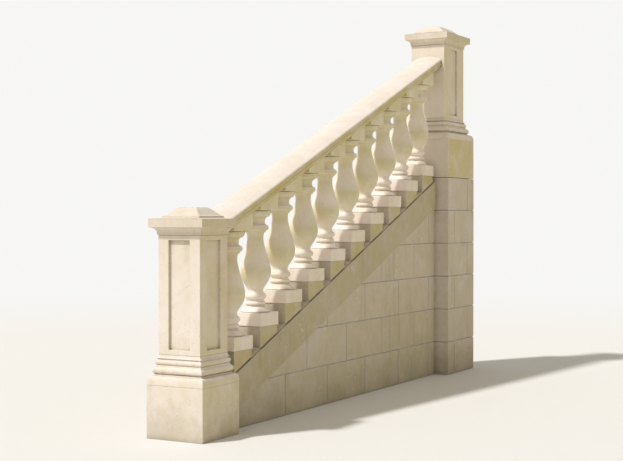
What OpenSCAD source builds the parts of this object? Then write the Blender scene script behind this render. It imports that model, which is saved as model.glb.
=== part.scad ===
// Raking stone balustrade of an outdoor stair: a panelled newel at the foot, ten turned
// balusters on stepped plinth blocks, a moulded raking rail and a panelled pier at the head.
// X runs across the balustrade, Y up the stair, Z up from the ground.

/* [Stair] */
// rise of one step of the stair that the balustrade climbs; with the tread it sets the rake
riser = 142; // [136:1:148]
// going of one step of the stair; with the riser it sets the rake
tread = 350; // [340:1:364]

/* [Balusters] */
// distance between neighbouring baluster axes, measured level
pitch = 280; // [270:1:292]
// side of the square plinth and of the square abacus of a baluster
plinth_w = 194; // [188:1:200]
// height of the square plinth under the turned shaft
plinth_h = 75; // [66:1:84]
// height of the turned shaft, from the plinth to the underside of the abacus
turned_h = 579; // [550:1:605]
// height of the abacus on the axis of the baluster, up to the rail
abacus_h = 62; // [56:1:72]
// diameter of the belly of the baluster
belly_d = 180; // [174:1:186]
// diameter of the neck of the baluster under its upper ring
neck_d = 93; // [86:1:98]
// diameter of the splayed foot of the baluster
foot_d = 168; // [162:1:176]

/* [Rail] */
// overall width of the raking rail
rail_w = 222; // [214:1:232]
// thickness of the rail measured square to the rake, below its weathered top
rail_t = 62; // [58:1:68]
// rise of the weathered top of the rail at its middle
rail_crown = 18; // [12:1:24]

/* [Base] */
// width of the raking string on which the plinth blocks stand
string_w = 192; // [188:1:198]
// depth of the raking string, measured plumb
string_h = 200; // [180:1:215]
// width of the wall under the string
wall_w = 170; // [150:1:180]
// height of the underside of a baluster's plinth above the line of the nosings
block_up = 138; // [130:1:146]

/* [Newel and pier] */
// side of the square shaft of the newel, and the width of the pier
shaft_w = 262; // [254:1:272]
// length of the pier along the stair
pier_l = 376; // [360:1:396]
// height of the plain plinths of the newel and the pier
foot_h = 280; // [272:1:290]
// height of the base mouldings above those plinths
base_h = 158; // [152:1:170]
// amount by which the plinth of the newel stands out beyond its shaft
foot_out = 45; // [42:1:50]
// amount by which the plinth of the pier stands out beyond its shaft
pier_out = 60; // [52:1:66]
// overhang of the caps beyond the shafts
cap_out = 39; // [34:1:44]
// width of the margins beside the newel's sunk panels, which sets the width of every panel
panel_rim = 65; // [58:1:72]
// depth of the sunk panels
panel_sink = 16; // [10:1:22]
// height of the crown of the caps above their fascias
crown_h = 60; // [50:1:70]

/* [Hidden] */
$fn = 72;
slope = riser / tread;
rake = atan(slope);
bal_n = 10;
seat = 0.3;
half = shaft_w / 2;
foot_half = half + foot_out;
cap_half = half + cap_out;
// level distances from the newel's shaft to the first baluster, and from the last one to the pier
first_gap = pitch * 0.78;
last_gap = pitch * 0.74;
first_y = half + first_gap;
pier_y = first_y + (bal_n - 1) * pitch + last_gap;
// the nosing of the lowest step is on the ground this far in front of the newel's axis
nose_y = -361;
// the paving of the landing lies this much above the line of the tenth riser
paving_up = 22;
bed_up = 46;
bed_gap = 12;
rail_drop = rail_t / cos(rake);
rail_under = block_up + plinth_h + turned_h + abacus_h;
rail_top_up = rail_under + rail_drop;
cove_h = 45;
fascia_h = 40;
cap_h = cove_h + fascia_h + crown_h;
// the crown's flat top begins this far in from the face of the shaft
crown_in = 78;
// clear joint between the crown and the stone of the rail that is cut round it
crown_gap = 7;
// margins of the sunk panels above the base and below the cap
panel_end = 26;
// height of the pier's cap above the top of the rail that runs into it
cap_rise = 105;
// the edge of the rail meets the cap of the newel two thirds of the way up its fascia
cap_z = nose_z(cap_half) + rail_top_up - cove_h - fascia_h * 0.7;
land_z = 10 * riser + paving_up;
pier_end = pier_y + pier_l;
pier_mid = pier_y + pier_l / 2;
front_end = -foot_half;
back_end = pier_end + pier_out;
shift_y = -(front_end + back_end) / 2;
pier_cap_z = nose_z(pier_y) + rail_top_up + cap_rise;

function nose_z(y) = slope * (y - nose_y);
function bal_y(k) = first_y + (k - 1) * pitch;
// points of an arc about (cx, cy), and of a smooth curve from p to t with the handles q and s
function arc(cx, cy, r, a0, a1, n) = [for (i = [0 : n])
  let (a = a0 + (a1 - a0) * i / n) [cx + r * cos(a), cy + r * sin(a)]];
function curve(p, q, s, t, n) = [for (i = [0 : n])
  let (u = i / n, v = 1 - u) v * v * v * p + 3 * v * v * u * q + 3 * v * u * u * s + u * u * u * t];
// a half outline, given from its foot up to its top, closed by its mirror image
function both_sides(pts) = concat(pts, [for (i = [len(pts) - 1 : -1 : 0]) [-pts[i][0], pts[i][1]]]);

// a solid whose plan is a rectangle and whose outline out(z) is the same on all four sides
module stack(hx, hy, pts) {
  intersection() {
    rotate([90, 0, 0]) linear_extrude(height = 4 * hy, center = true) side_face(hx, pts);
    rotate([90, 0, 90]) linear_extrude(height = 4 * hx, center = true) side_face(hy, pts);
  }
}

module side_face(h, pts) {
  polygon(both_sides([for (p = pts) [h + p[0], p[1]]]));
}

// outline of the base mouldings, outwards from the shaft and upwards from the plinth: the rounded
// shoulder of the plinth, two rolls that step inwards, and a cavetto up to the shaft
function base_pts(h, w) = concat(
  curve([w, seat], [w, h * 0.17], [w * 0.92, h * 0.29], [w * 0.66, h * 0.3], 7),
  [[w * 0.42, h * 0.31], [w * 0.42, h * 0.345]],
  arc(w * 0.54 - h * 0.127, h * 0.475, h * 0.127, -68, 68, 9),
  [[w * 0.24, h * 0.605], [w * 0.24, h * 0.645]],
  arc(w * 0.29 - h * 0.095, h * 0.745, h * 0.095, -62, 62, 8),
  [[w * 0.07, h * 0.845], [w * 0.07, h * 0.875], [w * 0.2, h * 0.88]],
  curve([w * 0.18, h * 0.9], [w * 0.05, h * 0.9], [0, h * 0.94], [0, h], 5));

// outline of a cap: cove, fascia and a weathered top with a low bell-shaped crown
cove_r = cap_out - 9;
cove_pts = concat([[0, 0], [5, 0], [5, cove_h - 6 - cove_r]],
  arc(cap_out - 4, cove_h - 6 - cove_r, cove_r, 180, 90, 7),
  [[cap_out - 4, cove_h - 4], [cap_out, cove_h - 4]]);
top_z = cove_h + fascia_h;
cap_pts = concat(cove_pts,
  [[cap_out, top_z - 2], [cap_out - 2, top_z], [-12, top_z + 4], [-14, top_z + 14]],
  curve([-18, top_z + 15], [-crown_in * 0.44, top_z + 21],
    [-crown_in * 0.74, top_z + crown_h - 8], [-crown_in, top_z + crown_h], 9));

module cap_solid(hx, hy) {
  stack(hx, hy, cap_pts);
}

module newel_plinth() {
  color([0.93, 0.89, 0.80])
  translate([-foot_half, shift_y - foot_half, 0]) cube([2 * foot_half, 2 * foot_half, foot_h]);
}

module newel_base() {
  color([0.93, 0.89, 0.80])
  translate([0, shift_y, foot_h]) stack(half, half, base_pts(base_h, foot_out));
}

// a shaft with sunk panels on both flanks and, where asked, in front; it stands on z = 0
module panelled_shaft(hx, hy, h, front) {
  pz = panel_end;
  ph = h - 2 * panel_end;
  pw = shaft_w - 2 * panel_rim;
  difference() {
    translate([-hx, -hy, 0]) cube([2 * hx, 2 * hy, h]);
    translate([hx - panel_sink, -pw / 2, pz]) cube([panel_sink + 1, pw, ph]);
    translate([-hx - 1, -pw / 2, pz]) cube([panel_sink + 1, pw, ph]);
    if (front) translate([-pw / 2, -hy - 1, pz]) cube([pw, panel_sink + 1, ph]);
  }
}

module newel_shaft() {
  z0 = foot_h + base_h + seat;
  color([0.94, 0.90, 0.82])
  translate([0, shift_y, z0]) panelled_shaft(half, half, cap_z - seat - z0, true);
}

module newel_cap() {
  color([0.95, 0.91, 0.83])
  translate([0, shift_y, cap_z]) cap_solid(half, half);
}

// outline of the turned shaft of a baluster, from the plinth to the abacus: splayed foot, two
// rings, waist, belly, neck, upper ring and the ovolo under the abacus; a tenon at each
// end makes it one piece with its plinth and its abacus
rb = belly_d / 2;
rn = neck_d / 2;
rf = foot_d / 2;
kh = turned_h / 579;
tenon = 6;
turned_pts = concat(
  [[0, -tenon], [rf - 20, -tenon], [rf - 20, 0], [rf - 2, 0], [rf, 2], [rf, 6]],
  curve([rf - 2, 8 * kh], [rf - 10, 10 * kh], [rn + 22, 20 * kh], [rn + 11, 31 * kh], 6),
  [[rn + 4, 32 * kh], [rn + 4, 38 * kh]],
  arc(rn + 1, 51 * kh, 12, -72, 72, 7),
  [[rn + 3, 64 * kh], [rn + 3, 71 * kh]],
  arc(rn - 1, 90 * kh, 17, -68, 68, 8),
  [[rn + 4, 108 * kh], [rn + 1, 113 * kh]],
  curve([rn - 2, 124 * kh], [rn + 3, 150 * kh], [rb - 6, 172 * kh], [rb, 222 * kh], 9),
  curve([rb, 230 * kh], [rb, 275 * kh], [rn + 13, 335 * kh], [rn + 1, 405 * kh], 10),
  curve([rn, 414 * kh], [rn - 1, 434 * kh], [rn + 2, 444 * kh], [rn + 6, 453 * kh], 4),
  [[rn + 14, 454 * kh], [rn + 14, 461 * kh]],
  arc(rn + 13, 480 * kh, 17, -72, 72, 7),
  [[rn + 12, 498 * kh], [rn + 12, 503 * kh]],
  curve([rn + 9, 504 * kh], [rn + 7, 511 * kh], [rn + 8, 522 * kh], [rn + 11, 532 * kh], 4),
  [[rn + 15, 532 * kh], [rn + 15, 539 * kh], [rn + 19, 539 * kh]],
  arc(rn + 19, 563 * kh, 22, -78, 0, 6),
  [[rn + 44, 563 * kh], [rn + 44, turned_h]],
  [[rn, turned_h], [rn, turned_h + tenon], [0, turned_h + tenon]]);

// one baluster: square plinth, turned shaft, and an abacus cut to the rake on top
module baluster(k) {
  y = bal_y(k);
  pw = plinth_w / 2;
  zt = plinth_h + turned_h;
  color([0.92, 0.88, 0.79])
  translate([0, y + shift_y, nose_z(y) + block_up]) {
    translate([-pw, -pw, seat]) cube([plinth_w, plinth_w, plinth_h - seat]);
    translate([0, 0, plinth_h]) rotate_extrude() polygon(turned_pts);
    difference() {
      translate([-pw, -pw, zt]) cube([plinth_w, plinth_w, abacus_h + plinth_w]);
      translate([0, 0, zt + abacus_h - seat]) over_rake();
    }
  }
}

// everything above the rake through the origin
module over_rake() {
  rotate([rake, 0, 0]) translate([-string_w, -2 * pitch, 0]) cube([2 * string_w, 4 * pitch, 4 * pitch]);
}

module block(k) {
  y = bal_y(k);
  w = plinth_w - 10;
  zb = nose_z(y) + bed_up + bed_gap + seat;
  zt = nose_z(y) + block_up;
  color([0.90, 0.86, 0.77])
  translate([0, y + shift_y, 0])
  intersection() {
    translate([-w / 2, -w / 2, zt - w]) cube([w, w, w]);
    translate([0, 0, zb]) over_rake();
  }
}

module baluster_01() { baluster(1); }
module baluster_02() { baluster(2); }
module baluster_03() { baluster(3); }
module baluster_04() { baluster(4); }
module baluster_05() { baluster(5); }
module baluster_06() { baluster(6); }
module baluster_07() { baluster(7); }
module baluster_08() { baluster(8); }
module baluster_09() { baluster(9); }
module baluster_10() { baluster(10); }
module block_01() { block(1); }
module block_02() { block(2); }
module block_03() { block(3); }
module block_04() { block(4); }
module block_05() { block(5); }
module block_06() { block(6); }
module block_07() { block(7); }
module block_08() { block(8); }
module block_09() { block(9); }
module block_10() { block(10); }

// half outline of the rail square to the rake, from its underside round the roll to its crown
rw = rail_w / 2;
roll_r = 14;
crown_x = rw - roll_r;
crown_r = (crown_x * crown_x + rail_crown * rail_crown) / (2 * rail_crown);
rail_pts = concat(
  [[rw - 13, 0], [rw - 13, 8]],
  arc(rw - 3, 8, 10, 180, 90, 4),
  [[rw - 3, 24], [rw - 6, 25], [rw - 6, rail_t - 2 * roll_r]],
  arc(rw - roll_r, rail_t - roll_r, roll_r, -60, 80, 8),
  arc(0, rail_t + rail_crown - crown_r, crown_r, 90 - asin(crown_x / crown_r), 90 - asin(4 / crown_r), 6));

module rail_bar(y0, y1) {
  intersection() {
    translate([0, shift_y, nose_z(0) + rail_under])
      rotate([90 + rake, 0, 0])
      linear_extrude(height = 4 * pier_end, center = true)
      polygon(both_sides(rail_pts));
    translate([-rail_w, y0 + shift_y, 0]) cube([2 * rail_w, y1 - y0, 2 * pier_end]);
  }
}

rail_cut_1 = bal_y(4) + pitch / 2;
rail_cut_2 = bal_y(7) + pitch / 2;

// the lowest rail stone is cut round the cap of the newel and laps its weathered top
module rail_lower() {
  color([0.96, 0.92, 0.85])
  difference() {
    rail_bar(half - 8, rail_cut_1 - seat / 2);
    translate([-rail_w, shift_y - half, cap_z - half]) cube([2 * rail_w, shaft_w + seat, half + cove_h]);
    translate([0, shift_y, cap_z + seat]) stack(half + seat, half + seat, cap_pts);
    intersection() {
      translate([0, shift_y, cap_z]) stack(half + crown_gap, half + crown_gap, cap_pts);
      translate([-half, shift_y - half, cap_z + top_z + 6]) cube([shaft_w, shaft_w, shaft_w]);
    }
  }
}

module rail_middle() {
  color([0.96, 0.92, 0.85])
  rail_bar(rail_cut_1 + seat / 2, rail_cut_2 - seat / 2);
}

module rail_upper() {
  color([0.96, 0.92, 0.85])
  rail_bar(rail_cut_2 + seat / 2, pier_y - seat);
}

// a length of the raking string: its body, and the narrower bed that leaves the shadow groove
module string_bar(y0, y1) {
  intersection() {
    union() {
      raking_box(string_w, bed_up - string_h, bed_up);
      raking_box(string_w - 28, bed_up - 1, bed_up + bed_gap);
    }
    translate([-string_w, y0 + shift_y, 0]) cube([2 * string_w, y1 - y0, 2 * pier_end]);
  }
}

// a long box of width w between two heights above the line of the nosings
module raking_box(w, za, zb) {
  z0 = nose_z(0);
  z1 = nose_z(pier_end);
  translate([0, shift_y, 0])
    rotate([90, 0, 90])
    linear_extrude(height = w, center = true)
    polygon([[0, z0 + za], [pier_end, z1 + za], [pier_end, z1 + zb], [0, z0 + zb]]);
}

string_cut = bal_y(5) + pitch / 2;

module string_lower() {
  color([0.91, 0.87, 0.78])
  string_bar(foot_half + seat, string_cut - seat / 2);
}

module string_upper() {
  color([0.91, 0.87, 0.78])
  string_bar(string_cut + seat / 2, pier_y - pier_out - seat);
}

module stair_wall() {
  ya = foot_half + seat;
  yb = pier_y - pier_out - seat;
  zt = bed_up - string_h - seat;
  color([0.88, 0.84, 0.75])
  translate([0, shift_y, 0])
    rotate([90, 0, 90])
    linear_extrude(height = wall_w, center = true)
    polygon([[ya, 0], [yb, 0], [yb, nose_z(yb) + zt], [ya, nose_z(ya) + zt]]);
}

// the plan of the plinth and footing of the pier, raised to height h
module pier_foot(h) {
  translate([-half - pier_out, pier_y - pier_out + shift_y, 0])
    cube([shaft_w + 2 * pier_out, pier_l + 2 * pier_out, h]);
}

module pier_footing() {
  color([0.88, 0.84, 0.75])
  pier_foot(land_z - seat);
}

module pier_plinth() {
  color([0.93, 0.89, 0.80])
  translate([0, 0, land_z]) pier_foot(foot_h);
}

module pier_base() {
  color([0.93, 0.89, 0.80])
  translate([0, pier_mid + shift_y, land_z + foot_h]) stack(half, pier_l / 2, base_pts(base_h, pier_out));
}

module pier_shaft() {
  z0 = land_z + foot_h + base_h + seat;
  color([0.94, 0.90, 0.82])
  translate([0, pier_mid + shift_y, z0]) panelled_shaft(half, pier_l / 2, pier_cap_z - seat - z0, false);
}

module pier_cap() {
  color([0.95, 0.91, 0.83])
  translate([0, pier_mid + shift_y, pier_cap_z]) cap_solid(half, pier_l / 2);
}

newel_plinth();
newel_base();
newel_shaft();
newel_cap();
baluster_01();
baluster_02();
baluster_03();
baluster_04();
baluster_05();
baluster_06();
baluster_07();
baluster_08();
baluster_09();
baluster_10();
block_01();
block_02();
block_03();
block_04();
block_05();
block_06();
block_07();
block_08();
block_09();
block_10();
rail_lower();
rail_middle();
rail_upper();
string_lower();
string_upper();
stair_wall();
pier_footing();
pier_plinth();
pier_base();
pier_shaft();
pier_cap();
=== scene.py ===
"""Dresses the raking stone balustrade in weathered limestone and sets a plain stage round it.

X runs across the balustrade, Y up the stair and Z up from the ground, all in metres.
"""

import math

import bmesh
import bpy
from bpy.props import FloatProperty, FloatVectorProperty, IntProperty, PointerProperty
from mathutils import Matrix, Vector


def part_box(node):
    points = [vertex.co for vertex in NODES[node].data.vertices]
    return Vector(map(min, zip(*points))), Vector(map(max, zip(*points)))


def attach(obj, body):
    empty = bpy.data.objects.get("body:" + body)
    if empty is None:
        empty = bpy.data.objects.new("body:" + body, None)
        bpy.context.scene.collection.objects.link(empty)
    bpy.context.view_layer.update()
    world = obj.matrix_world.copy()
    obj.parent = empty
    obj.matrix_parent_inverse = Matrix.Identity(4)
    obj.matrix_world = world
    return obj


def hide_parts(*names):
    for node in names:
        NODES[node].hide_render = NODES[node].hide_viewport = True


bl_info = {
    "name": "Stone Balustrade",
    "version": (1, 0, 0),
    "blender": (4, 5, 0),
    "location": "3D View > Sidebar > Balustrade",
    "description": "Turned balusters, stone finishes and a stage for a raking stone balustrade",
    "category": "Object",
}

# the objects that a new file starts with
for unused in ("Cube", "Light", "Camera"):
    if unused in bpy.data.objects:
        bpy.data.objects.remove(bpy.data.objects[unused])

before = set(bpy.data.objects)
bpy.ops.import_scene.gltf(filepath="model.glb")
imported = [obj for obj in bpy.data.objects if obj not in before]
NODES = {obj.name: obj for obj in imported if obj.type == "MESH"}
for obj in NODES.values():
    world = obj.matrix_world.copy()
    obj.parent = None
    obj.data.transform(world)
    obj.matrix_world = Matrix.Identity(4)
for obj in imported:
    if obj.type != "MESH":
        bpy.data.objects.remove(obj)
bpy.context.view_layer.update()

# the row of balusters, read from the solid model
FIRST_LOW, FIRST_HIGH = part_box("baluster_01")
SECOND_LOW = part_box("baluster_02")[0]
BALUSTER_NODES = sorted(n for n in NODES if n.startswith("baluster_"))
BLOCK_NODES = sorted(n for n in NODES if n.startswith("block_"))
PLINTH_WIDTH = FIRST_HIGH.x - FIRST_LOW.x
PITCH = SECOND_LOW.y - FIRST_LOW.y
RISE = SECOND_LOW.z - FIRST_LOW.z
SLOPE = RISE / PITCH
AXIS_Y = (FIRST_LOW.y + FIRST_HIGH.y) / 2
# the underside of the rail over the first baluster's axis
RAIL_SEAT = FIRST_HIGH.z - SLOPE * PLINTH_WIDTH / 2
# millimetres in a metre
MM = 1000


# sizes and colours

# what lengths and colours have in common
LENGTH = {"unit": "LENGTH"}
COLOUR = {"subtype": "COLOR", "size": 3, "min": 0, "max": 1}


class BalusterSizes(bpy.types.PropertyGroup):
    """Sizes of a turned baluster and of its wear"""

    plinth_height: FloatProperty(
        name="Plinth height", description="Height of the square plinth",
        default=0.075, min=0.04, max=0.12, **LENGTH,
    )
    shaft_height: FloatProperty(
        name="Shaft height", description="Height of the turned shaft",
        default=0.579, min=0.4, max=0.8, **LENGTH,
    )
    belly: FloatProperty(
        name="Belly", description="Diameter of the belly",
        default=0.180, min=0.14, max=0.19, **LENGTH,
    )
    neck: FloatProperty(
        name="Neck", description="Diameter of the neck",
        default=0.093, min=0.06, max=0.12, **LENGTH,
    )
    foot: FloatProperty(
        name="Foot", description="Diameter of the splayed foot",
        default=0.168, min=0.14, max=0.19, **LENGTH,
    )
    arris: FloatProperty(
        name="Arris", description="Radius of the worn edges of plinth and abacus",
        default=0.0035, min=0, max=0.01, **LENGTH,
    )
    segments: IntProperty(
        name="Segments", description="Faces round the turned shaft",
        default=64, min=24, max=96,
    )
    wear: FloatProperty(
        name="Wear", description="Depth of the weathering of the surface",
        default=0.0011, min=0, max=0.004, **LENGTH,
    )


class StoneColours(bpy.types.PropertyGroup):
    """Colours of the stones"""

    cream: FloatVectorProperty(
        name="Cream", description="Clean face of the limestone",
        default=(0.87, 0.785, 0.725), **COLOUR,
    )
    buff: FloatVectorProperty(
        name="Buff", description="Weathered face of the limestone",
        default=(0.76, 0.67, 0.53), **COLOUR,
    )
    # this colour is the run-off, damp and grit, and also the painted shade in hollows
    soot_and_shade: FloatVectorProperty(
        name="Grime", description="Grime in hollows and run-off streaks",
        default=(0.30, 0.255, 0.175), **COLOUR,
    )
    bloom: FloatVectorProperty(
        name="Bloom", description="Bleached arrises and lichen",
        default=(0.88, 0.84, 0.79), **COLOUR,
    )
    # the algae colour also paints the olive tint of the rail's shadow on the shafts
    olive: FloatVectorProperty(
        name="Algae", description="Film of algae on the balusters",
        default=(0.57, 0.515, 0.25), **COLOUR,
    )
    # the ochre also paints the warm tint of shade on the sides away from the sun
    ochre: FloatVectorProperty(
        name="Ochre", description="Stain on the shaded sides",
        default=(0.61, 0.51, 0.185), **COLOUR,
    )
    mortar: FloatVectorProperty(
        name="Mortar", description="Lime mortar of the wall",
        default=(0.56, 0.52, 0.43), **COLOUR,
    )


class MasonrySizes(bpy.types.PropertyGroup):
    """Sizes of the coursed stones of the wall and of the pier's footing"""

    courses: IntProperty(
        name="Courses", description="Courses in the height of the footing",
        default=6, min=3, max=10,
    )
    stone: FloatProperty(
        name="Stone", description="Length of a wall stone",
        default=0.52, min=0.3, max=0.9, **LENGTH,
    )
    joint: FloatProperty(
        name="Joint", description="Width of a mortar joint",
        default=0.006, min=0.002, max=0.02, **LENGTH,
    )
    recess: FloatProperty(
        name="Recess", description="Depth of the mortar behind the faces",
        default=0.005, min=0.001, max=0.02, **LENGTH,
    )
    arris: FloatProperty(
        name="Arris", description="Radius of the stones' worn edges",
        default=0.004, min=0.001, max=0.012, **LENGTH,
    )


class StageSettings(bpy.types.PropertyGroup):
    """Camera, lamp, fill light and floor"""

    lens: FloatProperty(
        name="Lens", description="Focal length on a 36 mm wide sensor",
        default=73.5, min=20, max=200,
    )
    sun_power: FloatProperty(
        name="Key", description="Power of the key lamp",
        default=2.7, min=0, max=10,
    )
    fill_power: FloatProperty(
        name="Fill", description="Strength of the fill light",
        default=0.46, min=0, max=2,
    )
    floor_colour: FloatVectorProperty(
        name="Floor", description="Colour of the floor",
        default=(0.80, 0.79, 0.77), **COLOUR,
    )


# writing node trees


class Graph:
    """A short way to write a node tree."""

    def __init__(self, tree):
        self.tree = tree

    def node(self, kind, inputs=(), **settings):
        made = self.tree.nodes.new(kind)
        for key, value in settings.items():
            setattr(made, key, value)
        for key, value in dict(inputs).items():
            self.feed(made.inputs[key], value)
        return made

    def feed(self, socket, value):
        if isinstance(value, bpy.types.NodeSocket):
            self.tree.links.new(value, socket)
        elif isinstance(value, bpy.types.Node):
            self.tree.links.new(value.outputs[0], socket)
        else:
            socket.default_value = value

    def maths(self, operation, a, b=None, c=None, clamp=False):
        made = self.node("ShaderNodeMath", operation=operation, use_clamp=clamp)
        for socket, value in zip(made.inputs, (a, b, c)):
            if value is not None:
                self.feed(socket, value)
        return made.outputs[0]

    def product(self, first, *others):
        """All the shares multiplied together."""
        for other in others:
            first = self.maths("MULTIPLY", first, other)
        return first

    def vector(self, operation, a, b):
        made = self.node("ShaderNodeVectorMath", {0: a, 1: b}, operation=operation)
        return made.outputs["Value" if operation == "DOT_PRODUCT" else "Vector"]

    def ramp(self, value, low, high, out_low=0.0, out_high=1.0):
        """Maps low to high smoothly onto out_low to out_high, and is level outside them."""
        made = self.node(
            "ShaderNodeMapRange",
            {"Value": value, "From Min": low, "From Max": high, "To Min": out_low, "To Max": out_high},
            interpolation_type="SMOOTHSTEP",
        )
        return made.outputs["Result"]

    def noise(self, vector, scale, detail=3.0, roughness=0.55, distortion=0.0):
        made = self.node(
            "ShaderNodeTexNoise",
            {
                "Vector": vector,
                "Scale": scale,
                "Detail": detail,
                "Roughness": roughness,
                "Distortion": distortion,
            },
        )
        return made.outputs["Fac"]

    def cells(self, vector, scale):
        """Distance from the middle of the nearest of many scattered cells."""
        inputs = {"Vector": vector, "Scale": scale, "Randomness": 1.0}
        return self.node("ShaderNodeTexVoronoi", inputs, feature="F1").outputs["Distance"]

    def random(self, order):
        """A number from 0 to 1 for each order, the same each time."""
        made = self.node("ShaderNodeTexWhiteNoise", {"W": order}, noise_dimensions="1D")
        return made.outputs["Value"]

    def mix(self, share, a, b):
        made = self.node("ShaderNodeMix", data_type="RGBA")
        self.feed(made.inputs["Factor"], share)
        self.feed(made.inputs[6], a)
        self.feed(made.inputs[7], b)
        return made.outputs[2]

    def matt(self, **inputs):
        """A matt surface. Its inputs are named with underscores for spaces."""
        spaced = {name.replace("_", " "): value for name, value in inputs.items()}
        return self.node("ShaderNodeBsdfPrincipled", spaced)

    def show(self, shader, output="ShaderNodeOutputMaterial"):
        self.feed(self.node(output).inputs["Surface"], shader)


def rgba(colour, shade=1.0):
    return (*[min(1.0, c * shade) for c in colour], 1.0)


def bare_material(name):
    material = bpy.data.materials.new(name)
    material.use_nodes = True
    material.node_tree.nodes.clear()
    return material


# limestone, coat by coat

# the level direction, roughly away from the sun, in which the shaded sides of the stones look
AWAY_FROM_SUN = (0.6, 0.8, 0.0)
# algae, and the painted olive shade tint with them, begin at the first height over the line of the
# balusters' feet and are full at the second
ALGAE_AND_TINT_FROM, ALGAE_AND_TINT_FULL = 0.12, 0.32
# rising damp is full at the first height above the ground and ends at the second, and the mottle
# lifts both by up to the third
DAMP_FULL, DAMP_END, DAMP_LIFT = -0.12, 0.16, 0.22
# scale of the run-off streaks, which are far longer down the stone than across it
STREAK_SCALE = (15.0, 15.0, 1.3)
# radius within which an arris is bleached, and depth of the relief of the face
BLEACH_REACH, RELIEF_DEPTH = 0.006, 0.0016
# the stones of the string change tone by this length, from this place along Y
STRING_STONE, STRING_START = 1.4, AXIS_Y - 0.6


class Limestone(Graph):
    """Weathered limestone, with painted shade in its hollows and painted shade tints on its shaded sides. A
    coat takes the colour so far and returns it with the coat laid on.
    """

    def __init__(self, tree, shade, seed):
        super().__init__(tree)
        self.colours = bpy.context.scene.stone_colours
        self.shade = shade
        place = self.node("ShaderNodeTexCoord").outputs["Object"]
        self.at = self.node("ShaderNodeSeparateXYZ", {"Vector": place}).outputs
        self.spot = self.vector("ADD", place, (seed, seed * 0.7, seed * 1.3))
        self.normal = self.node("ShaderNodeNewGeometry").outputs["Normal"]
        self.facing = self.node("ShaderNodeSeparateXYZ", {"Vector": self.normal}).outputs
        self.cloud = self.noise(self.spot, scale=3.1, detail=5.0, roughness=0.62, distortion=0.4)
        self.mottle = self.noise(self.spot, scale=17.0, detail=6.0, roughness=0.66)
        self.grain = self.noise(self.spot, scale=230.0, detail=3.0, roughness=0.7)

    def tone(self, colour, strength=1.0):
        return rgba(colour, strength * self.shade)

    def coat(self, colour, over, *shares):
        """Lays one colour over another by the product of the shares."""
        return self.mix(self.product(*shares), colour, over)

    def clean_stone(self, tint, stone_length, start, own_tone):
        """Stone between cream and buff: broad clouds, a mottle and a tone of each stone's own."""
        mottled = self.maths("MULTIPLY", self.ramp(self.mottle, 0.32, 0.72), 0.42)
        share = self.maths("MULTIPLY_ADD", self.ramp(self.cloud, 0.34, 0.68), 0.50, mottled)
        share = self.maths("ADD", share, tint)
        if stone_length:
            along = self.maths("SUBTRACT", self.at["Y"], start)
            own = self.random(self.maths("FLOOR", self.maths("DIVIDE", along, stone_length)))
            share = self.maths("ADD", share, self.maths("MULTIPLY_ADD", own, 0.28, -0.14))
        if own_tone:
            own = self.node("ShaderNodeAttribute", attribute_name="tone").outputs["Fac"]
            share = self.maths("ADD", share, self.maths("MULTIPLY_ADD", own, 0.60, -0.30))
        share = self.maths("ADD", share, 0.0, clamp=True)
        return self.mix(share, self.tone(self.colours.cream), self.tone(self.colours.buff))

    def run_off(self, colour, streaks):
        """Streaks on upright faces, broad and faint, thicker where the bedding is dark."""
        stretched = self.vector("MULTIPLY", self.spot, STREAK_SCALE)
        streak = self.ramp(self.noise(stretched, scale=1.0, detail=2.0, roughness=0.45), 0.50, 0.78)
        dark_beds = self.ramp(self.cloud, 0.40, 0.66)
        upright = self.ramp(self.maths("ABSOLUTE", self.facing["Z"]), 0.75, 0.35)
        return self.coat(colour, self.tone(self.colours.soot_and_shade, 1.25), streak, dark_beds, upright, streaks)

    def weathering_and_shade_tint(self, colour, stain, algae):
        """Ochre stain on the sides that look away from the sun, which also paints the warm tint of their
        shade, and algae on the balusters, but not near their feet or on the side that lies open to sun
        and rain, which also paints the olive tint of the rail's shadow on the shafts."""
        blotches = self.noise(self.spot, scale=6.5, detail=4.0, roughness=0.6)
        patches = self.ramp(blotches, 0.30, 0.62, 0.55, 1.0)
        weathering_and_shade_tint = self.maths("MULTIPLY", patches, self.ramp(self.facing["Z"], 0.45, 0.05))
        # painted shade tint: the ochre lies mostly on the sides that look away from the key lamp, and warms
        # their shade
        shaded = self.ramp(self.vector("DOT_PRODUCT", self.normal, AWAY_FROM_SUN), -0.35, 0.35, 0.12, 1.0)
        colour = self.coat(colour, self.tone(self.colours.ochre), weathering_and_shade_tint, shaded, stain)
        if algae:
            foot = self.maths("MULTIPLY_ADD", self.at["Y"], SLOPE, FIRST_LOW.z - SLOPE * AXIS_Y)
            above = self.ramp(self.maths("SUBTRACT", self.at["Z"], foot), ALGAE_AND_TINT_FROM, ALGAE_AND_TINT_FULL)
            # painted shade tint: the algae are kept off the lit side and tint the shafts where the rail's
            # shadow falls
            sheltered = self.ramp(self.facing["X"], -0.85, -0.35)
            colour = self.coat(colour, self.tone(self.colours.olive), weathering_and_shade_tint, above, sheltered, algae)
        return colour

    def damp(self, colour):
        """Rising damp and splashes at the ground."""
        height = self.maths("MULTIPLY_ADD", self.mottle, -DAMP_LIFT, self.at["Z"])
        low = self.ramp(height, DAMP_END, DAMP_FULL)
        patches = self.ramp(self.cloud, 0.30, 0.60, 0.35, 1.0)
        return self.coat(colour, self.tone(self.colours.soot_and_shade, 1.15), low, patches, 0.42)

    def hollows(self, colour, grime, reach):
        """Painted shade on faces that have another within reach, broken into patches."""
        # painted shade: a face is darkened by how much of the sky its neighbours hide
        sky = self.node("ShaderNodeAmbientOcclusion", {"Distance": reach}, samples=6, only_local=False)
        hollow = self.ramp(sky.outputs["AO"], 0.78, 0.28)
        patches = self.ramp(self.mottle, 0.2, 0.6, 0.55, 1.0)
        return self.coat(colour, self.tone(self.colours.soot_and_shade), hollow, patches, grime)

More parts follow.
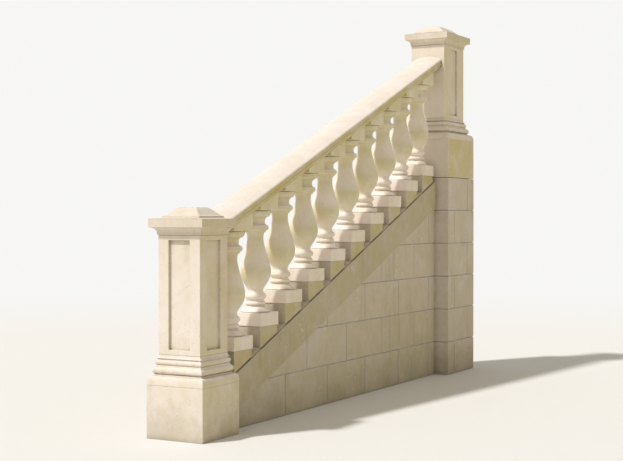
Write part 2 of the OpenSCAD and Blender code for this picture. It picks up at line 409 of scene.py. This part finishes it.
    def arrises(self, colour):
        """Arrises bleached by the weather."""
        rounded = self.node("ShaderNodeBevel", {"Radius": BLEACH_REACH}, samples=4).outputs["Normal"]
        edge = self.ramp(self.vector("DOT_PRODUCT", rounded, self.normal), 0.985, 0.86)
        patches = self.ramp(self.mottle, 0.30, 0.60, 0.25, 1.0)
        return self.coat(colour, rgba(self.colours.bloom), edge, patches, 0.5)

    def lichen(self, colour):
        """Small round lichens in patches."""
        spots = self.ramp(self.cells(self.spot, scale=26.0), 0.30, 0.20)
        patches = self.ramp(self.noise(self.spot, scale=5.0, detail=2.0), 0.56, 0.66)
        broken = self.ramp(self.grain, 0.35, 0.6, 0.4, 1.0)
        return self.coat(colour, rgba(self.colours.bloom, 0.96), spots, patches, broken, 0.4)

    def speckle(self, colour):
        """Fine speckle of the shelly grain."""
        dots = self.ramp(self.grain, 0.50, 0.80, 0.0, 0.18)
        return self.coat(colour, self.tone(self.colours.soot_and_shade, 1.5), dots)

    def face(self, colour):
        """The face itself, with its pits, relief and roughness."""
        patches = self.ramp(self.noise(self.spot, scale=30.0, detail=2.0), 0.52, 0.62)
        pits = self.maths("MULTIPLY", self.ramp(self.cells(self.spot, scale=95.0), 0.32, 0.10), patches)
        colour = self.coat(colour, self.tone(self.colours.soot_and_shade, 0.9), pits, 0.45)
        relief = self.maths("MULTIPLY_ADD", self.grain, 0.35, self.maths("MULTIPLY", self.mottle, 0.9))
        relief = self.maths("MULTIPLY_ADD", pits, -0.8, relief)
        bump = self.node("ShaderNodeBump", {"Strength": 0.55, "Distance": RELIEF_DEPTH, "Height": relief})
        uneven = self.maths("MULTIPLY_ADD", self.grain, 0.5, self.maths("MULTIPLY", self.mottle, 0.5))
        rough = self.ramp(uneven, 0.3, 0.7, 0.80, 0.97)
        self.show(self.matt(Base_Color=colour, Roughness=rough, Specular_IOR_Level=0.28, Normal=bump))


def limestone(
    name,
    shade=1.0,
    tint=0.0,
    stone_length=None,
    start=0.0,
    own_tone=False,
    streaks=0.5,
    grime=0.6,
    reach=0.07,
    stain=0.5,
    algae=0.0,
    seed=0.0,
):
    """A finish of weathered limestone.

    shade scales the colours and tint moves them towards buff. Each stone has a tone of its own:
    from its place along Y by stone_length and start, or from its stored tone. The four shares after
    own_tone are, in order, those of the run-off, of the painted shade on faces that have another
    within reach, of the ochre on the sides that look away from the sun, which also paints the warm
    tint of their shade, and of the algae on the balusters' shafts, which also paints the olive tint
    of the rail's shadow.
    """
    material = bare_material(name)
    stone = Limestone(material.node_tree, shade, seed)
    colour = stone.clean_stone(tint, stone_length, start, own_tone)
    colour = stone.run_off(colour, streaks)
    colour = stone.weathering_and_shade_tint(colour, stain, algae)
    colour = stone.damp(colour)
    colour = stone.hollows(colour, grime, reach)
    colour = stone.arrises(colour)
    colour = stone.lichen(colour)
    colour = stone.speckle(colour)
    stone.face(colour)
    return material


def finish_of(name, **settings):
    """The finish of that name, which is made when it is first asked for."""
    return bpy.data.materials.get(name) or limestone(name, **settings)


def row_finish(name, **settings):
    """A finish whose tone changes from one baluster of the row to the next."""
    return finish_of(name, stone_length=PITCH, start=AXIS_Y - PITCH / 2, streaks=0.25, **settings)


def turned_finish():
    return row_finish("turned_limestone", shade=1.09, tint=-0.2, grime=1.0, stain=0.3, algae=0.7, seed=7.0)


# the blocks' painted shade in hollows reaches far, into the recesses between them
def block_finish():
    return row_finish("block_limestone", shade=0.87, tint=0.3, grime=0.75, reach=0.2, stain=0.8, seed=11.0)


def rail_finish():
    return finish_of("rail_limestone", shade=0.965, tint=-0.12, streaks=0.2, grime=0.6, stain=1.0, seed=3.0)


def string_finish():
    return finish_of(
        "string_limestone",
        shade=0.76,
        tint=0.3,
        stone_length=STRING_STONE,
        start=STRING_START,
        streaks=0.6,
        grime=0.8,
        stain=0.55,
        seed=17.0,
    )


def pier_finish():
    return finish_of("pier_limestone", shade=1.0, tint=-0.05, streaks=0.3, grime=0.9, stain=0.5, seed=23.0)


def plinth_finish():
    return finish_of(
        "plinth_limestone", shade=0.95, tint=0.05, streaks=0.35, grime=0.9, stain=0.75, seed=27.0
    )


# the cap's painted shade in hollows reaches into its cove
def cap_finish():
    return finish_of(
        "cap_limestone", shade=0.935, tint=0.2, streaks=0.45, grime=1.0, reach=0.13, stain=0.5, seed=29.0
    )


def wall_finish():
    return finish_of(
        "wall_limestone",
        shade=0.82,
        tint=0.25,
        own_tone=True,
        streaks=0.5,
        grime=0.65,
        stain=0.4,
        seed=31.0,
    )


def lime_mortar():
    """Gritty, matt lime mortar in light and dark patches."""
    ready = bpy.data.materials.get("lime_mortar")
    if ready:
        return ready
    colours = bpy.context.scene.stone_colours
    material = bare_material("lime_mortar")
    g = Graph(material.node_tree)
    place = g.node("ShaderNodeTexCoord").outputs["Object"]
    grit = g.noise(place, scale=420.0, detail=3.0, roughness=0.7)
    patch = g.noise(place, scale=9.0, detail=4.0, roughness=0.6)
    colour = g.mix(g.ramp(patch, 0.35, 0.65), rgba(colours.mortar), rgba(colours.mortar, 0.78))
    colour = g.mix(g.ramp(grit, 0.5, 0.75, 0.0, 0.35), colour, rgba(colours.soot_and_shade))
    relief = g.maths("ADD", grit, patch)
    bump = g.node("ShaderNodeBump", {"Strength": 0.7, "Distance": 0.0012, "Height": relief})
    g.show(g.matt(Base_Color=colour, Roughness=0.95, Specular_IOR_Level=0.2, Normal=bump))
    return material


# stones that keep the mesh of the solid model

# radii of the worn arrises of sawn stones, of caps, of the rail and of fine mouldings
SAWN_ARRIS, CAP_ARRIS, RAIL_ARRIS, MOULDED_ARRIS = 0.003, 0.002, 0.0016, 0.0015
# least angles between two faces that make an arris, in degrees: elsewhere a face is part of a curve
SAWN_ANGLE, CAP_ANGLE, MOULDED_ANGLE = 28, 35, 40
# points closer than this are one point
ONE_POINT = 1e-5


def dress(node, finish, arris, angle):
    """Gives a stone of the frame its finish and, by live modifiers that leave its mesh as it
    was, rounded arrises."""
    stone = NODES[node]
    stone.data.materials.clear()
    stone.data.materials.append(finish)
    weld = stone.modifiers.new("Joined faces", "WELD")
    weld.merge_threshold = ONE_POINT
    rounded = stone.modifiers.new("Rounded arrises", "BEVEL")
    rounded.width = arris
    rounded.segments = 2
    rounded.limit_method = "ANGLE"
    rounded.angle_limit = math.radians(angle)
    rounded.use_clamp_overlap = True
    even = stone.modifiers.new("Even shading", "WEIGHTED_NORMAL")
    even.keep_sharp = False
    even.weight = 100


class BALUSTRADE_OT_string(bpy.types.Operator):
    """Finishes the stepped blocks and the raking string"""

    bl_idname = "balustrade.string"
    bl_label = "Blocks and string"

    def execute(self, context):
        for node in BLOCK_NODES:
            dress(node, block_finish(), SAWN_ARRIS, SAWN_ANGLE)
        for node in ("string_lower", "string_upper"):
            dress(node, string_finish(), SAWN_ARRIS, SAWN_ANGLE)
        return {"FINISHED"}


class BALUSTRADE_OT_rail(bpy.types.Operator):
    """Finishes the raking rail"""

    bl_idname = "balustrade.rail"
    bl_label = "Rail"

    def execute(self, context):
        for node in ("rail_lower", "rail_middle", "rail_upper"):
            dress(node, rail_finish(), RAIL_ARRIS, MOULDED_ANGLE)
        return {"FINISHED"}


class BALUSTRADE_OT_newel(bpy.types.Operator):
    """Finishes the panelled newel at the foot"""

    bl_idname = "balustrade.newel"
    bl_label = "Newel"

    def execute(self, context):
        for node in ("newel_plinth", "newel_shaft"):
            dress(node, pier_finish(), SAWN_ARRIS, SAWN_ANGLE)
        dress("newel_base", pier_finish(), MOULDED_ARRIS, MOULDED_ANGLE)
        dress("newel_cap", cap_finish(), CAP_ARRIS, CAP_ANGLE)
        return {"FINISHED"}


class BALUSTRADE_OT_pier(bpy.types.Operator):
    """Finishes the pier at the head"""

    bl_idname = "balustrade.pier"
    bl_label = "Pier"

    def execute(self, context):
        dress("pier_plinth", plinth_finish(), SAWN_ARRIS, SAWN_ANGLE)
        dress("pier_shaft", pier_finish(), SAWN_ARRIS, SAWN_ANGLE)
        dress("pier_base", pier_finish(), MOULDED_ARRIS, MOULDED_ANGLE)
        dress("pier_cap", cap_finish(), CAP_ARRIS, CAP_ANGLE)
        return {"FINISHED"}


# shapes

# height of the shaft, in millimetres, at which its outline is drawn
DRAWN_HEIGHT = 579
# the abacus is let into the rail by this much
LET_IN = 0.0003


def arc(centre, radius, start, end, count):
    """Points along an arc from one angle to another, in degrees."""
    x, y = centre
    turns = [math.radians(start + (end - start) * i / count) for i in range(count + 1)]
    return [(x + radius * math.cos(turn), y + radius * math.sin(turn)) for turn in turns]


def curve(start, first_pull, second_pull, end, count):
    """Points along the cubic curve from start to end that two points pull out."""
    points = []
    for i in range(count + 1):
        u, v = i / count, 1 - i / count
        shares = (v**3, 3 * v * v * u, 3 * v * u * u, u**3)
        guides = (start, first_pull, second_pull, end)
        x, y = (sum(share * guide[axis] for share, guide in zip(shares, guides)) for axis in (0, 1))
        points.append((x, y))
    return points


def turned_outline(sizes):
    """Half outline of the turned shaft in millimetres: splayed foot, two rings, waist, belly,
    neck, upper ring and the ovolo under the abacus."""
    belly, neck, foot = (diameter * MM / 2 for diameter in (sizes.belly, sizes.neck, sizes.foot))
    stretch = sizes.shaft_height * MM / DRAWN_HEIGHT

    def at(radius, height):
        return radius, height * stretch

    out = [(foot - 2, 0), (foot, 2), (foot, 6)]
    out += curve(at(foot - 2, 8), at(foot - 10, 10), at(neck + 22, 20), at(neck + 11, 31), 10)
    out += [at(neck + 4, 32), at(neck + 4, 38)]
    out += arc(at(neck + 1, 51), 12, -72, 72, 12)
    out += [at(neck + 3, 64), at(neck + 3, 71)]
    out += arc(at(neck - 1, 90), 17, -68, 68, 13)
    out += [at(neck + 4, 108), at(neck + 1, 113)]
    out += curve(at(neck - 2, 124), at(neck + 3, 150), at(belly - 6, 172), at(belly, 222), 14)
    out += curve(at(belly, 230), at(belly, 275), at(neck + 13, 335), at(neck + 1, 405), 16)
    out += curve(at(neck, 414), at(neck - 1, 434), at(neck + 2, 444), at(neck + 6, 453), 6)
    out += [at(neck + 14, 454), at(neck + 14, 461)]
    out += arc(at(neck + 13, 480), 17, -72, 72, 12)
    out += [at(neck + 12, 498), at(neck + 12, 503)]
    out += curve(at(neck + 9, 504), at(neck + 7, 511), at(neck + 8, 522), at(neck + 11, 532), 7)
    out += [at(neck + 15, 532.4), at(neck + 15, 539), at(neck + 19, 539.4)]
    out += arc(at(neck + 19, 563), 22, -78, 0, 9)
    out += [at(neck + 44, 563.4), at(neck + 44, 579)]
    return out


def lathe(bm, outline, base, segments):
    """Turns an outline in millimetres about Z, with its foot at height base."""
    rings = []
    for radius, z in outline:
        ring = []
        for i in range(segments):
            turn = 2 * math.pi * i / segments
            x, y = radius / MM * math.cos(turn), radius / MM * math.sin(turn)
            ring.append(bm.verts.new((x, y, base + z / MM)))
        rings.append(ring)
    for low, high in zip(rings, rings[1:]):
        for i in range(segments):
            j = (i + 1) % segments
            bm.faces.new((low[i], low[j], high[j], high[i])).smooth = True
    bm.faces.new(list(reversed(rings[0])))
    bm.faces.new(rings[-1])


def dressed_block(bm, width, depth, low, high, tilt, arris):
    """A squared stone whose top may rise with the rake, with rounded arrises."""
    made = bmesh.ops.create_cube(bm, size=1.0)["verts"]
    for v in made:
        x, y = v.co.x * width, v.co.y * depth
        v.co = Vector((x, y, low if v.co.z < 0 else high + tilt * y))
    edges = list({e for v in made for e in v.link_edges})
    bmesh.ops.bevel(
        bm,
        geom=edges,
        offset=arris,
        offset_type="OFFSET",
        segments=2,
        profile=0.5,
        affect="EDGES",
        clamp_overlap=True,
    )


def mesh_of(name, bm):
    mesh = bpy.data.meshes.new(name)
    bm.to_mesh(mesh)
    bm.free()
    return mesh


def shown_object(name, mesh):
    thing = bpy.data.objects.new(name, mesh)
    bpy.context.scene.collection.objects.link(thing)
    return thing


def tree_of(name, **inputs):
    """An empty geometry tree with a geometry in and out. Each input is a kind and a default."""
    tree = bpy.data.node_groups.new(name, "GeometryNodeTree")
    add = tree.interface.new_socket
    add(name="Geometry", in_out="INPUT", socket_type="NodeSocketGeometry")
    for label, (kind, default) in inputs.items():
        made = add(name=label.replace("_", " "), in_out="INPUT", socket_type="NodeSocket" + kind)
        if default is not None:
            made.default_value = default
    add(name="Geometry", in_out="OUTPUT", socket_type="NodeSocketGeometry")
    return tree


def grow(thing, tree, **values):
    """Runs a tree on an object and leaves the result as its plain mesh."""
    modifier = thing.modifiers.new(tree.name, "NODES")
    modifier.node_group = tree
    sockets = {
        item.name: item.identifier
        for item in tree.interface.items_tree
        if item.item_type == "SOCKET" and item.in_out == "INPUT"
    }
    for name, value in values.items():
        modifier[sockets[name.replace("_", " ")]] = value
    shown = thing.evaluated_get(bpy.context.evaluated_depsgraph_get())
    plain = bpy.data.meshes.new_from_object(shown)
    thing.modifiers.clear()
    thing.data = plain


# the row of balusters


def baluster_mesh(sizes):
    """One baluster on its own axis, its plinth's underside at height 0."""
    abacus_low = sizes.plinth_height + sizes.shaft_height
    abacus_high = RAIL_SEAT - FIRST_LOW.z + LET_IN
    bm = bmesh.new()
    dressed_block(bm, PLINTH_WIDTH, PLINTH_WIDTH, 0, sizes.plinth_height, 0, sizes.arris)
    dressed_block(bm, PLINTH_WIDTH, PLINTH_WIDTH, abacus_low, abacus_high, SLOPE, sizes.arris)
    lathe(bm, turned_outline(sizes), sizes.plinth_height, sizes.segments)
    return mesh_of("baluster_form", bm)


def baluster_row_tree():
    """Repeats one baluster up the rake and wears the surface of each one differently."""
    tree = tree_of(
        "Baluster row",
        Balusters=("Int", 10),
        Pitch=("Float", 0.28),
        Rise=("Float", 0.11),
        Foot_of_the_first=("Vector", None),
        Wear=("Float", 0.001),
        Seed=("Int", 5),
        Stone=("Material", None),
    )
    g = Graph(tree)
    given = g.node("NodeGroupInput").outputs
    step = g.node("ShaderNodeCombineXYZ", {"Y": given["Pitch"], "Z": given["Rise"]})
    places = g.node(
        "GeometryNodeMeshLine",
        {"Count": given["Balusters"], "Start Location": given["Foot of the first"], "Offset": step},
        mode="OFFSET",
    )
    row = g.node("GeometryNodeInstanceOnPoints", {"Points": places, "Instance": given["Geometry"]})
    solid = g.node("GeometryNodeRealizeInstances", {"Geometry": row})
    own = g.node("ShaderNodeCombineXYZ", {"X": given["Seed"]})
    where = g.vector("ADD", g.node("GeometryNodeInputPosition").outputs[0], own)
    broad = g.noise(where, scale=11.0, detail=2.0, roughness=0.5)
    fine = g.noise(where, scale=60.0, detail=2.0, roughness=0.5)
    uneven = g.maths("SUBTRACT", g.maths("MULTIPLY_ADD", fine, 0.5, broad), 0.75)
    depth = g.maths("MULTIPLY", uneven, given["Wear"])
    face = g.node("GeometryNodeInputNormal")
    push = g.node("ShaderNodeVectorMath", {0: face, "Scale": depth}, operation="SCALE")
    worn = g.node("GeometryNodeSetPosition", {"Geometry": solid, "Offset": push})
    stone = g.node("GeometryNodeSetMaterial", {"Geometry": worn, "Material": given["Stone"]})
    g.feed(g.node("NodeGroupOutput").inputs[0], stone)
    return tree


class BALUSTRADE_OT_balusters(bpy.types.Operator):
    """Turns the row of balusters and wears its stone"""

    bl_idname = "balustrade.balusters"
    bl_label = "Balusters"

    def execute(self, context):
        sizes = context.scene.baluster_sizes
        row = shown_object("turned_balusters", baluster_mesh(sizes))
        grow(
            row,
            baluster_row_tree(),
            Balusters=len(BALUSTER_NODES),
            Pitch=PITCH,
            Rise=RISE,
            Foot_of_the_first=(0.0, AXIS_Y, FIRST_LOW.z),
            Wear=sizes.wear,
            Seed=5,
            Stone=turned_finish(),
        )
        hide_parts(*BALUSTER_NODES)
        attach(row, "root")
        return {"FINISHED"}


# coursed masonry


def laid_stones(g, given):
    """The stones in running bond: columns along Y, one more than the length asks, and courses up
    Z. Every other course is shifted by half a stone. Each stone stores a tone of its own."""
    fitting = g.maths("CEIL", g.maths("DIVIDE", given["Length"], given["Stone length"]))
    columns = g.maths("ADD", fitting, 1.0)
    courses = g.maths("CEIL", g.maths("DIVIDE", given["High height"], given["Course height"]))
    order = g.node("GeometryNodeInputIndex").outputs[0]
    column = g.maths("FLOORED_MODULO", order, columns)
    course = g.maths("FLOOR", g.maths("DIVIDE", order, columns))
    shift = g.maths("MULTIPLY", g.maths("FLOORED_MODULO", course, 2.0), 0.5)
    # the first stone of a course sticks out past the end, where the outline cuts it short
    stones_along = g.maths("SUBTRACT", g.maths("ADD", column, shift), 0.25)
    along = g.maths("MULTIPLY", stones_along, given["Stone length"])
    above = g.maths("MULTIPLY", g.maths("ADD", course, 0.5), given["Course height"])
    middle = g.node("ShaderNodeCombineXYZ", {"Y": along, "Z": above})
    count = g.maths("MULTIPLY", columns, courses)
    points = g.node("GeometryNodePoints", {"Count": count, "Position": middle})
    laid = g.node("GeometryNodeInstanceOnPoints", {"Points": points, "Instance": given["Geometry"]})
    own = g.random(g.maths("ADD", order, given["Seed"]))
    toned = g.node(
        "GeometryNodeStoreNamedAttribute",
        {"Geometry": laid, "Name": "tone", "Value": own},
        data_type="FLOAT",
        domain="INSTANCE",
    )
    return g.node("GeometryNodeRealizeInstances", {"Geometry": toned})


def wall_outline(g, given, inset):
    """The wall as a plain solid, drawn in by inset on all sides but its bed."""
    width = g.maths("MULTIPLY_ADD", inset, -2.0, given["Width"])
    length = g.maths("MULTIPLY_ADD", inset, -2.0, given["Length"])
    size = g.node("ShaderNodeCombineXYZ", {"X": width, "Y": length, "Z": 1.0})
    box = g.node("GeometryNodeMeshCube", {"Size": size}).outputs["Mesh"]
    at = g.node("ShaderNodeSeparateXYZ", {"Vector": g.node("GeometryNodeInputPosition")}).outputs
    along = g.maths("MULTIPLY_ADD", given["Length"], 0.5, at["Y"])
    share = g.maths("DIVIDE", along, given["Length"])
    rise = g.maths("SUBTRACT", given["High height"], given["Low height"])
    top = g.maths("SUBTRACT", g.maths("MULTIPLY_ADD", share, rise, given["Low height"]), inset)
    height = g.maths("MULTIPLY", g.maths("ADD", at["Z"], 0.5), top)
    moved = g.node("ShaderNodeCombineXYZ", {"X": at["X"], "Y": along, "Z": height})
    return g.node("GeometryNodeSetPosition", {"Geometry": box, "Position": moved})


def masonry_tree():
    """Trims coursed stones to the outline of a wall whose top may rise along Y, and fills the
    joints from behind with mortar."""
    tree = tree_of(
        "Coursed masonry",
        Foot=("Vector", None),
        Width=("Float", 0.17),
        Length=("Float", 3.0),
        Low_height=("Float", 1.0),
        High_height=("Float", 1.0),
        Stone_length=("Float", 0.5),
        Course_height=("Float", 0.24),
        Recess=("Float", 0.005),
        Seed=("Int", 3),
        Stone=("Material", None),
        Mortar=("Material", None),
    )
    g = Graph(tree)
    given = g.node("NodeGroupInput").outputs
    trimmed = g.node("GeometryNodeMeshBoolean", operation="INTERSECT", solver="EXACT")
    for mesh in (laid_stones(g, given), wall_outline(g, given, 0.0)):
        g.feed(trimmed.inputs["Mesh 2"], mesh)
    core = g.node(
        "GeometryNodeStoreNamedAttribute",
        {"Geometry": wall_outline(g, given, given["Recess"]), "Name": "mortar", "Value": True},
        data_type="BOOLEAN",
        domain="FACE",
    )
    wall = g.node("GeometryNodeJoinGeometry")
    for mesh in (trimmed, core):
        g.feed(wall.inputs[0], mesh)
    placed = g.node("GeometryNodeTransform", {"Geometry": wall, "Translation": given["Foot"]})
    solid = g.node("GeometryNodeRealizeInstances", {"Geometry": placed})
    dressed = g.node("GeometryNodeSetMaterial", {"Geometry": solid, "Material": given["Stone"]})
    marked = g.node("GeometryNodeInputNamedAttribute", {"Name": "mortar"}, data_type="BOOLEAN")
    filled = g.node(
        "GeometryNodeSetMaterial",
        {"Geometry": dressed, "Selection": marked.outputs["Attribute"], "Material": given["Mortar"]},
    )
    g.feed(g.node("NodeGroupOutput").inputs[0], filled)
    return tree


def masonry(name, node, low_height, sizes, course, length_of_stone, seed):
    """Coursed stones in place of one node of the frame, whose top rises from low_height."""
    low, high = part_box(node)
    width, length = high.x - low.x, high.y - low.y
    half_height = (course - sizes.joint) / 2
    bm = bmesh.new()
    dressed_block(bm, width, length_of_stone - sizes.joint, -half_height, half_height, 0, sizes.arris)
    wall = shown_object(name, mesh_of(name, bm))
    grow(
        wall,
        masonry_tree(),
        Foot=(0.0, low.y, low.z),
        Width=width,
        Length=length,
        Low_height=low_height,
        High_height=high.z - low.z,
        Stone_length=length_of_stone,
        Course_height=course,
        Recess=sizes.recess,
        Seed=seed,
        Stone=wall_finish(),
        Mortar=lime_mortar(),
    )
    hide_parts(node)
    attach(wall, "root")


class BALUSTRADE_OT_wall(bpy.types.Operator):
    """Builds the stair wall and the footing of the pier in courses of stone"""

    bl_idname = "balustrade.wall"
    bl_label = "Wall and footing"

    def execute(self, context):
        sizes = context.scene.masonry_sizes
        footing_low, footing_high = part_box("pier_footing")
        footing_height = footing_high.z - footing_low.z
        footing_length = footing_high.y - footing_low.y
        course = footing_height / sizes.courses
        wall_low, wall_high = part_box("stair_wall")
        low_height = wall_high.z - wall_low.z - SLOPE * (wall_high.y - wall_low.y)
        masonry("wall_courses", "stair_wall", low_height, sizes, course, sizes.stone, seed=3)
        masonry("footing_courses", "pier_footing", footing_height, sizes, course, footing_length, seed=19)
        return {"FINISHED"}


# stage

# where the photo was taken, and how far to the left of Y it looks
EYE = Vector((3.772, -7.2425, 1.169))
PHOTO_AHEAD = math.radians(32.46)
# focal length and centre of the photo, and the middle of the object in it, in pixels
PHOTO_FOCUS = 945.5
PHOTO_CENTRE = (311.0, 128.2)
AIM = (372.0, 140.0)
# width of the camera's sensor in millimetres, and the range of its view in metres
SENSOR_WIDTH = 36
NEAREST, FARTHEST = 0.05, 300

# the sun of the photo, high at the front left, with slightly soft shadows
TO_SUN = Vector((-0.58, -1.0, 1.62))
SUN_SPREAD = math.radians(4)
SUN_COLOUR = (1.0, 0.985, 0.975)
SUN_PLACE = (-3, -5, 6)
# warm fill from all round, and the pale ground that the camera sees behind the object
FILL_COLOUR = (1.0, 0.945, 0.83, 1.0)
BACKDROP = (0.93, 0.925, 0.915, 1.0)
# half the side of the floor, and the distances between which it fades into the backdrop
FLOOR_REACH = 60.0
FADE_FROM, FADE_TO = 3.0, 12.0


def floor_finish(colour):
    """A matt pale floor that fades into the backdrop far from the object."""
    material = bare_material("pale_floor")
    g = Graph(material.node_tree)
    place = g.node("ShaderNodeTexCoord").outputs["Object"]
    grain = g.noise(place, scale=6.0, detail=4.0, roughness=0.6)
    tone = g.mix(g.ramp(grain, 0.3, 0.7, 0.0, 0.06), rgba(colour), rgba(colour, 0.9))
    matt = g.matt(Base_Color=tone, Roughness=0.9, Specular_IOR_Level=0.2)
    glow = g.node("ShaderNodeEmission", {"Color": BACKDROP, "Strength": 1.0})
    at = g.node("ShaderNodeSeparateXYZ", {"Vector": place}).outputs
    squares = g.maths("ADD", g.maths("POWER", at["X"], 2.0), g.maths("POWER", at["Y"], 2.0))
    far = g.ramp(g.maths("SQRT", squares), FADE_FROM, FADE_TO)
    seen = g.node("ShaderNodeLightPath").outputs["Is Camera Ray"]
    g.show(g.node("ShaderNodeMixShader", {0: g.maths("MULTIPLY", far, seen), 1: matt, 2: glow}))
    return material


def lay_floor(colour):
    bm = bmesh.new()
    bmesh.ops.create_grid(bm, x_segments=8, y_segments=8, size=FLOOR_REACH)
    floor = shown_object("floor", mesh_of("floor", bm))
    floor.data.materials.append(floor_finish(colour))


def set_fill(scene, power):
    """Light from all round, from a world that the camera sees as the plain backdrop."""
    world = bpy.data.worlds.new("studio")
    world.use_nodes = True
    world.node_tree.nodes.clear()
    g = Graph(world.node_tree)
    fill = g.node("ShaderNodeBackground", {"Color": FILL_COLOUR, "Strength": power})
    backdrop = g.node("ShaderNodeBackground", {"Color": BACKDROP, "Strength": 1.0})
    path = g.node("ShaderNodeLightPath").outputs
    shows = g.maths("MAXIMUM", path["Is Camera Ray"], path["Is Glossy Ray"])
    g.show(g.node("ShaderNodeMixShader", {0: shows, 1: fill, 2: backdrop}), "ShaderNodeOutputWorld")
    scene.world = world


def set_sun(scene, power):
    sun = bpy.data.lights.new("key", "SUN")
    sun.energy = power
    sun.angle = SUN_SPREAD
    sun.color = SUN_COLOUR
    lamp = bpy.data.objects.new("key", sun)
    lamp.rotation_mode = "QUATERNION"
    lamp.rotation_quaternion = TO_SUN.to_track_quat("Z", "Y")
    lamp.location = SUN_PLACE
    scene.collection.objects.link(lamp)


def set_camera(scene, settings):
    """Stands the camera at the photo's station, turned from its centre to the object's middle."""
    lens = bpy.data.cameras.new("view")
    lens.sensor_width = SENSOR_WIDTH
    lens.lens = settings.lens
    lens.clip_start, lens.clip_end = NEAREST, FARTHEST
    view = bpy.data.objects.new("view", lens)
    view.location = EYE
    turn = math.atan((AIM[0] - PHOTO_CENTRE[0]) / PHOTO_FOCUS)
    drop = math.atan((AIM[1] - PHOTO_CENTRE[1]) / math.hypot(PHOTO_FOCUS, AIM[0] - PHOTO_CENTRE[0]))
    view.rotation_euler = (math.pi / 2 - drop, 0, PHOTO_AHEAD - turn)
    scene.collection.objects.link(view)
    scene.camera = view


class BALUSTRADE_OT_stage(bpy.types.Operator):
    """Lays the floor and sets the lamps and the camera"""

    bl_idname = "balustrade.stage"
    bl_label = "Stage"

    def execute(self, context):
        settings = context.scene.stage_settings
        lay_floor(settings.floor_colour)
        set_fill(context.scene, settings.fill_power)
        set_sun(context.scene, settings.sun_power)
        set_camera(context.scene, settings)
        context.scene.view_settings.view_transform = "Standard"
        return {"FINISHED"}


class BALUSTRADE_PT_panel(bpy.types.Panel):
    """Lists the pieces of the balustrade"""

    bl_idname = "BALUSTRADE_PT_panel"
    bl_label = "Stone balustrade"
    bl_space_type = "VIEW_3D"
    bl_region_type = "UI"
    bl_category = "Balustrade"

    def draw(self, context):
        scene = context.scene
        for kind in PIECES:
            self.layout.operator(kind.bl_idname)
        groups = (scene.baluster_sizes, scene.masonry_sizes, scene.stone_colours, scene.stage_settings)
        for group in groups:
            box = self.layout.box()
            for name in group.__annotations__:
                box.prop(group, name)


PIECES = (
    BALUSTRADE_OT_balusters,
    BALUSTRADE_OT_string,
    BALUSTRADE_OT_rail,
    BALUSTRADE_OT_newel,
    BALUSTRADE_OT_pier,
    BALUSTRADE_OT_wall,
    BALUSTRADE_OT_stage,
)
CLASSES = (BalusterSizes, MasonrySizes, StoneColours, StageSettings, *PIECES, BALUSTRADE_PT_panel)


def register():
    for kind in CLASSES:
        bpy.utils.register_class(kind)
    bpy.types.Scene.baluster_sizes = PointerProperty(type=BalusterSizes)
    bpy.types.Scene.masonry_sizes = PointerProperty(type=MasonrySizes)
    bpy.types.Scene.stone_colours = PointerProperty(type=StoneColours)
    bpy.types.Scene.stage_settings = PointerProperty(type=StageSettings)


def unregister():
    del bpy.types.Scene.stage_settings
    del bpy.types.Scene.stone_colours
    del bpy.types.Scene.masonry_sizes
    del bpy.types.Scene.baluster_sizes
    for kind in reversed(CLASSES):
        bpy.utils.unregister_class(kind)


def main():
    register()
    for piece in PIECES:
        prefix, name = piece.bl_idname.split(".")
        getattr(getattr(bpy.ops, prefix), name)()


if __name__ == "__main__":
    main()
